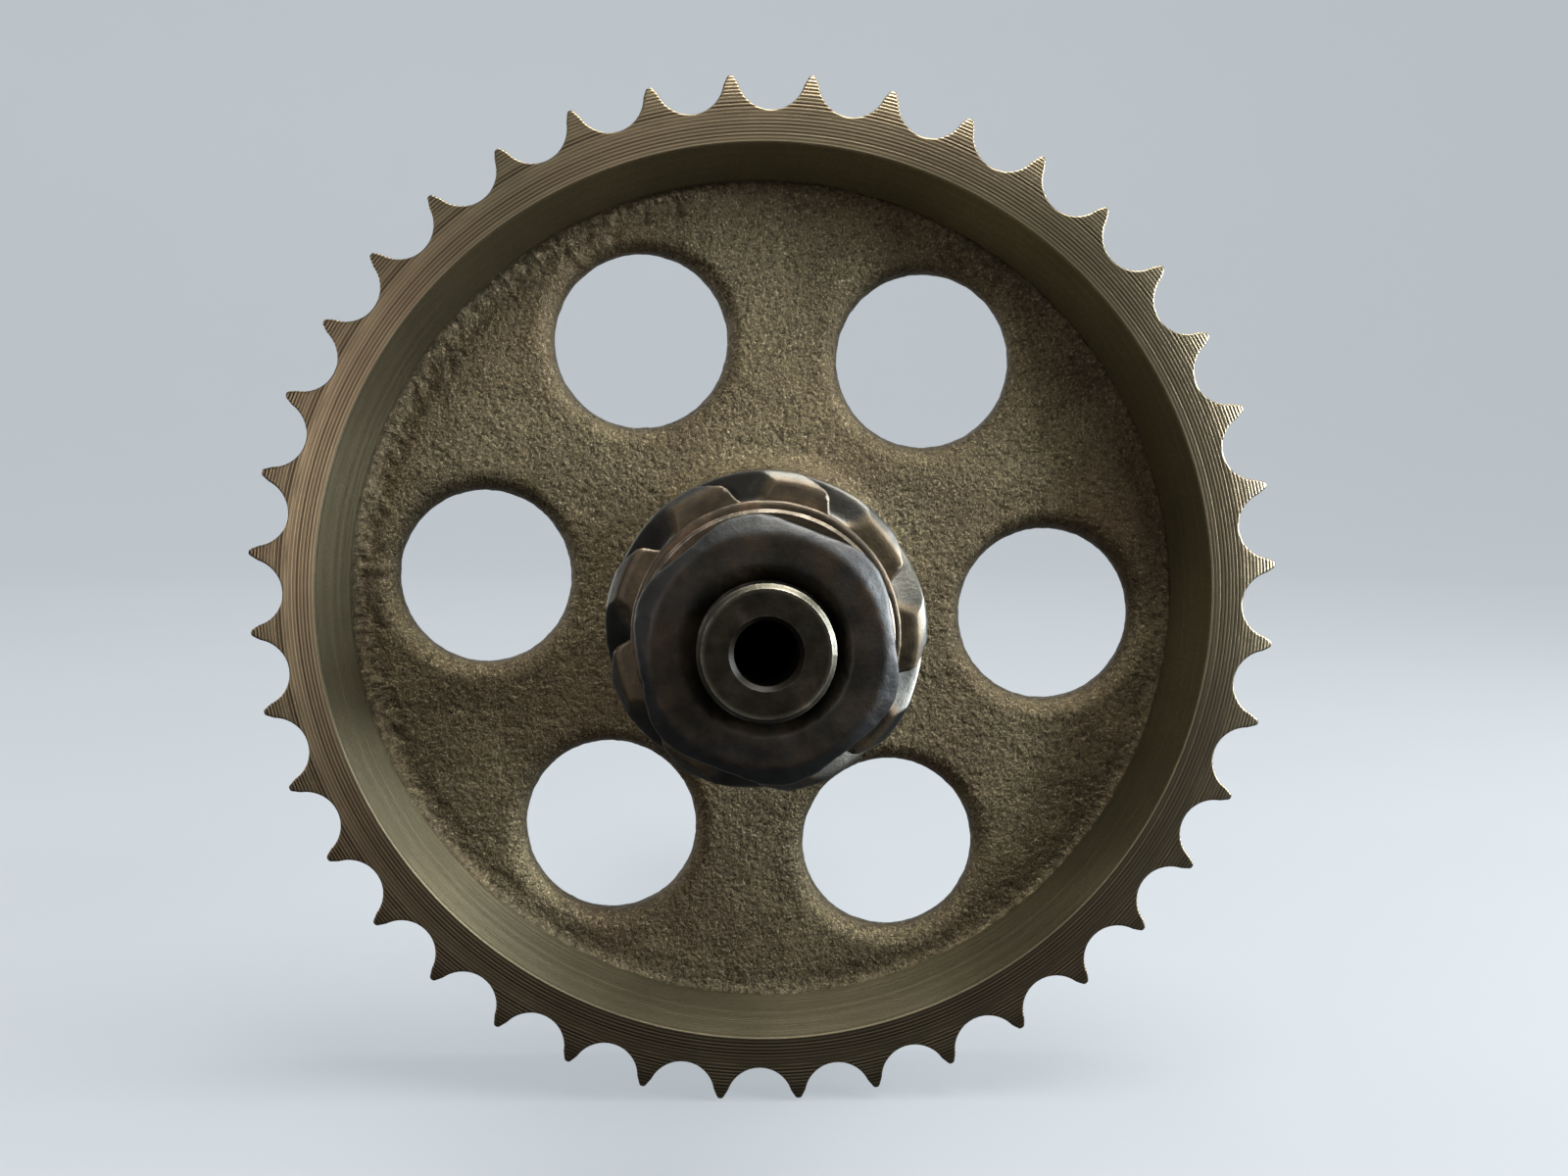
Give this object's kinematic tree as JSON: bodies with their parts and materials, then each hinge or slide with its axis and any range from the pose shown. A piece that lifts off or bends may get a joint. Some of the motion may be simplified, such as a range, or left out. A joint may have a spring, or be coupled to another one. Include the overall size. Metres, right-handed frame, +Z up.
{
  "type": "timing chain intermediate wheel and shaft",
  "caption": "Duplex timing-chain wheel keyed to a shaft with a skew gear held by a nut on one end, plain bearing bushes and a splined drive on the other.",
  "frame": {"origin": "centre of the chain wheel's rim, on the shaft's axis, halfway between its two rows of teeth", "axes": "+Y along the shaft's axis towards its splined drive end, -Y towards the skew gear and its nut, +Z up"},
  "size_m": [0.1236, 0.169, 0.1236],
  "materials": {
    "wheel_iron": "oiled cast web with a machined, lightly stained rim",
    "shaft_steel": "ground journals, oil-stained ends",
    "gear_steel": "dark oiled, case-hardened teeth with bright worn edges",
    "key_steel": "drawn",
    "sleeve_steel": "turned",
    "washer_steel": "turned, rust-stained",
    "spring_steel": "blackened",
    "nut_steel": "dark oiled, edges worn bright",
    "thrust_steel": "ground",
    "bush_bronze": "turned bearing bronze, oil-darkened"
  },
  "bodies": {
    "bearings": {"front_bush": "bush_bronze", "rear_bush": "bush_bronze", "front_thrust_washer": "thrust_steel", "rear_thrust_washer": "thrust_steel"},
    "rotor": {"sprocket_wheel": "wheel_iron", "drive_shaft": "shaft_steel", "skew_gear": "gear_steel", "wheel_key": "key_steel", "gear_key": "key_steel", "spacer_sleeve": "sleeve_steel", "gear_washer": "washer_steel", "lock_washer": "spring_steel", "shaft_nut": "nut_steel", "retaining_ring": "spring_steel"}
  },
  "joints": [
    {"name": "shaft_spin", "type": "hinge", "parent": "bearings", "child": "rotor", "pos_m": [0, 0, 0], "axis": [0, 1, 0], "continuous": true}
  ]
}
